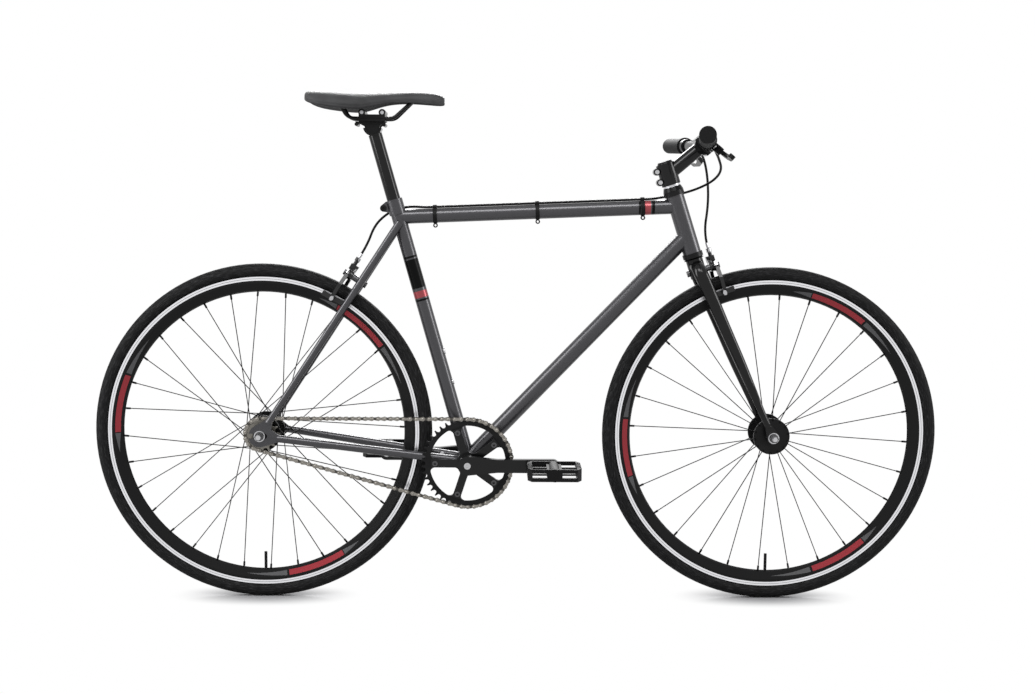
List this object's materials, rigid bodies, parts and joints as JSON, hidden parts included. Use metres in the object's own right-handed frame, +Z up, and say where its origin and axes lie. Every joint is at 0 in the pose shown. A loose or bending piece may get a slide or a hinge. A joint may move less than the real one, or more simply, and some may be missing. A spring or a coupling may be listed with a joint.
{
  "type": "fixed gear bicycle",
  "caption": "Fixed gear bicycle with diamond frame, flat bar, caliper brakes, spoked wheels, chain drive, pedals and narrow saddle; wheels, cranks, steering, brakes and seat move.",
  "frame": {"origin": "on the ground, midway between the two axles and in the plane of the wheels", "axes": "+X forward, +Y to the rider's left, +Z up"},
  "size_m": [1.7, 0.5806, 1.0206],
  "materials": {
    "frame_paint": "satin metallic dark grey",
    "fork_alloy": "gloss black paint",
    "black_alloy": "black anodised",
    "steel": "plain steel",
    "chain_steel": "warm nickel",
    "tyre": "matt black",
    "tube_rubber": "matt black",
    "grip_rubber": "matt black",
    "saddle_cover": "matt black",
    "black_plastic": "matt black"
  },
  "bodies": {
    "frame": {"head_tube": "frame_paint", "top_tube": "frame_paint", "down_tube": "frame_paint", "seat_tube": "frame_paint", "bottom_bracket_shell": "frame_paint", "chainstays": "frame_paint", "seatstays": "frame_paint", "rear_dropouts": "frame_paint", "stay_bridges": "frame_paint", "bottle_bosses": "steel", "seat_binder_bolt": "steel", "cable_clips": "black_plastic", "headset_cups": "black_alloy", "bottom_bracket_cups": "black_alloy", "rear_brake_housing": "black_plastic", "chain_inner_links": "chain_steel", "chain_outer_links": "chain_steel", "rear_axle": "steel", "rear_brake_bolt": "steel"},
    "steering": {"fork_steerer": "fork_alloy", "fork_blades": "fork_alloy", "headset_cover": "black_alloy", "stem": "black_alloy", "stem_faceplate": "black_alloy", "stem_bolts": "steel", "handlebar": "black_alloy", "grips": "grip_rubber", "lever_brackets": "black_alloy", "front_brake_housing": "black_plastic", "front_axle": "steel", "front_brake_bolt": "steel"},
    "left_lever": {"left_brake_lever": "black_alloy"},
    "right_lever": {"right_brake_lever": "black_alloy"},
    "front_arm_left": {"front_brake_arm_left": "black_alloy"},
    "front_arm_right": {"front_brake_arm_right": "black_alloy"},
    "rear_arm_left": {"rear_brake_arm_left": "black_alloy"},
    "rear_arm_right": {"rear_brake_arm_right": "black_alloy"},
    "front_wheel": {"front_tyre": "tyre", "front_rim": "black_alloy", "front_spokes": "steel", "front_hub": "black_alloy", "front_inner_tube": "tube_rubber"},
    "rear_wheel": {"rear_tyre": "tyre", "rear_rim": "black_alloy", "rear_spokes": "steel", "rear_hub": "black_alloy", "rear_inner_tube": "tube_rubber", "rear_cog": "steel"},
    "crank": {"chainring": "black_alloy", "crank_right": "black_alloy", "crank_left": "black_alloy", "chainring_bolts": "steel", "bottom_bracket_spindle": "steel", "pedal_axles": "steel"},
    "right_pedal": {"pedal_right": "black_plastic"},
    "left_pedal": {"pedal_left": "black_plastic"},
    "post": {"seatpost": "black_alloy"},
    "seat": {"saddle": "saddle_cover", "saddle_rails": "steel", "rail_clamp": "black_alloy"}
  },
  "joints": [
    {"name": "steering", "type": "hinge", "parent": "frame", "child": "steering", "pos_m": [0.34782, 0, 0.7053], "axis": [-0.309, 0, 0.9511], "range_deg": [-60, 60], "deforming": ["rear_brake_housing"]},
    {"name": "front_wheel_spin", "type": "hinge", "parent": "steering", "child": "front_wheel", "pos_m": [0.511, 0, 0.339], "axis": [0, 1, 0], "continuous": true},
    {"name": "rear_wheel_spin", "type": "hinge", "parent": "frame", "child": "rear_wheel", "pos_m": [-0.511, 0, 0.339], "axis": [0, 1, 0], "continuous": true, "deforming": ["chain_inner_links", "chain_outer_links"]},
    {"name": "crank_spin", "type": "hinge", "parent": "frame", "child": "crank", "pos_m": [-0.09954, 0, 0.283], "axis": [0, 1, 0], "continuous": true},
    {"name": "right_pedal_spin", "type": "hinge", "parent": "crank", "child": "right_pedal", "pos_m": [0.07046, 0, 0.283], "axis": [0, 1, 0], "continuous": true},
    {"name": "left_pedal_spin", "type": "hinge", "parent": "crank", "child": "left_pedal", "pos_m": [-0.26954, 0, 0.283], "axis": [0, 1, 0], "continuous": true},
    {"name": "left_lever_squeeze", "type": "hinge", "parent": "steering", "child": "left_lever", "pos_m": [0.37254, 0.15685, 0.9055], "axis": [0.6415, 0.0632, 0.7645], "range_deg": [0, 18], "stiffness_Nm_per_rad": 1.5, "springref_deg": -5.73, "deforming": ["front_brake_housing"]},
    {"name": "right_lever_squeeze", "type": "hinge", "parent": "steering", "child": "right_lever", "pos_m": [0.37254, -0.15685, 0.9055], "axis": [-0.6415, 0.0632, -0.7645], "range_deg": [0, 18], "stiffness_Nm_per_rad": 1.5, "springref_deg": -5.73},
    {"name": "front_brake_left", "type": "hinge", "parent": "steering", "child": "front_arm_left", "pos_m": [0.39104, 0, 0.67907], "axis": [-0.9511, 0, -0.309], "range_deg": [0, 2]},
    {"name": "front_brake_right", "type": "hinge", "parent": "steering", "child": "front_arm_right", "pos_m": [0.39104, 0, 0.67907], "axis": [0.9511, 0, 0.309], "range_deg": [0, 2]},
    {"name": "rear_brake_left", "type": "hinge", "parent": "frame", "child": "rear_arm_left", "pos_m": [-0.33831, 0, 0.65668], "axis": [-0.839, 0, 0.5442], "range_deg": [0, 2]},
    {"name": "rear_brake_right", "type": "hinge", "parent": "frame", "child": "rear_arm_right", "pos_m": [-0.33831, 0, 0.65668], "axis": [0.839, 0, -0.5442], "range_deg": [0, 2]},
    {"name": "saddle_height", "type": "slide", "parent": "frame", "child": "post", "axis": [-0.2756, 0, 0.9613], "range_m": [-0.1, 0.07]},
    {"name": "saddle_tilt", "type": "hinge", "parent": "post", "child": "seat", "pos_m": [-0.29083, 0, 0.95012], "axis": [0, 1, 0], "range_deg": [-12, 12]}
  ],
  "couplings": [
    {"joint": "crank_spin", "follows": "rear_wheel_spin", "ratio": 0.36364},
    {"joint": "front_brake_left", "follows": "left_lever_squeeze", "ratio": 0.11111},
    {"joint": "front_brake_right", "follows": "left_lever_squeeze", "ratio": 0.11111},
    {"joint": "rear_brake_left", "follows": "right_lever_squeeze", "ratio": 0.11111},
    {"joint": "rear_brake_right", "follows": "right_lever_squeeze", "ratio": 0.11111}
  ]
}
